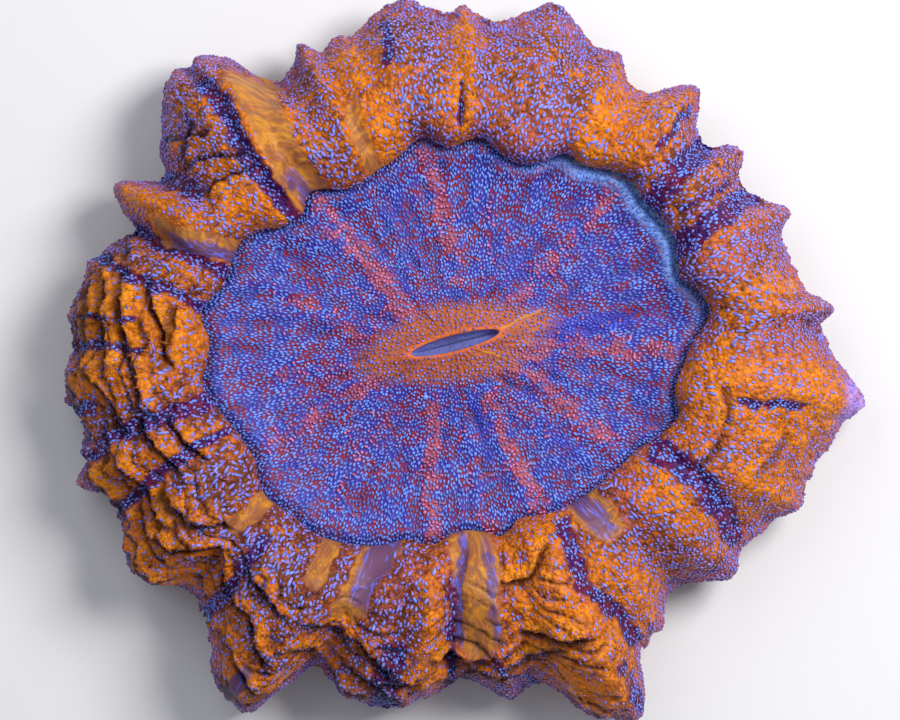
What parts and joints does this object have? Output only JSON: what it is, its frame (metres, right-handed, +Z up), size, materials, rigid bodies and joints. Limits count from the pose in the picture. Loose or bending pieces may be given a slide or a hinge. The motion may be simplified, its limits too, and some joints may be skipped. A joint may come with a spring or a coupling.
{
  "type": "doughnut coral",
  "caption": "Solitary fleshy coral polyp, with a slit mouth, a ridged oral disc and a thick folded mantle over a short foot that is cut off flat.",
  "frame": {"origin": "on the flat cut under the foot, at the middle of the bounding box's lowest face", "axes": "+Z is up, out of the mouth; +X is the long way, to the right in the picture; +Y is to the top of the picture"},
  "size_m": [0.18, 0.1604, 0.0422],
  "materials": {
    "flesh": "soft wet flesh with a satin sheen, orange with blue-violet beads, and blue and purple on the disc"
  },
  "bodies": {
    "root": {"doughnut_coral": "flesh"}
  },
  "joints": []
}
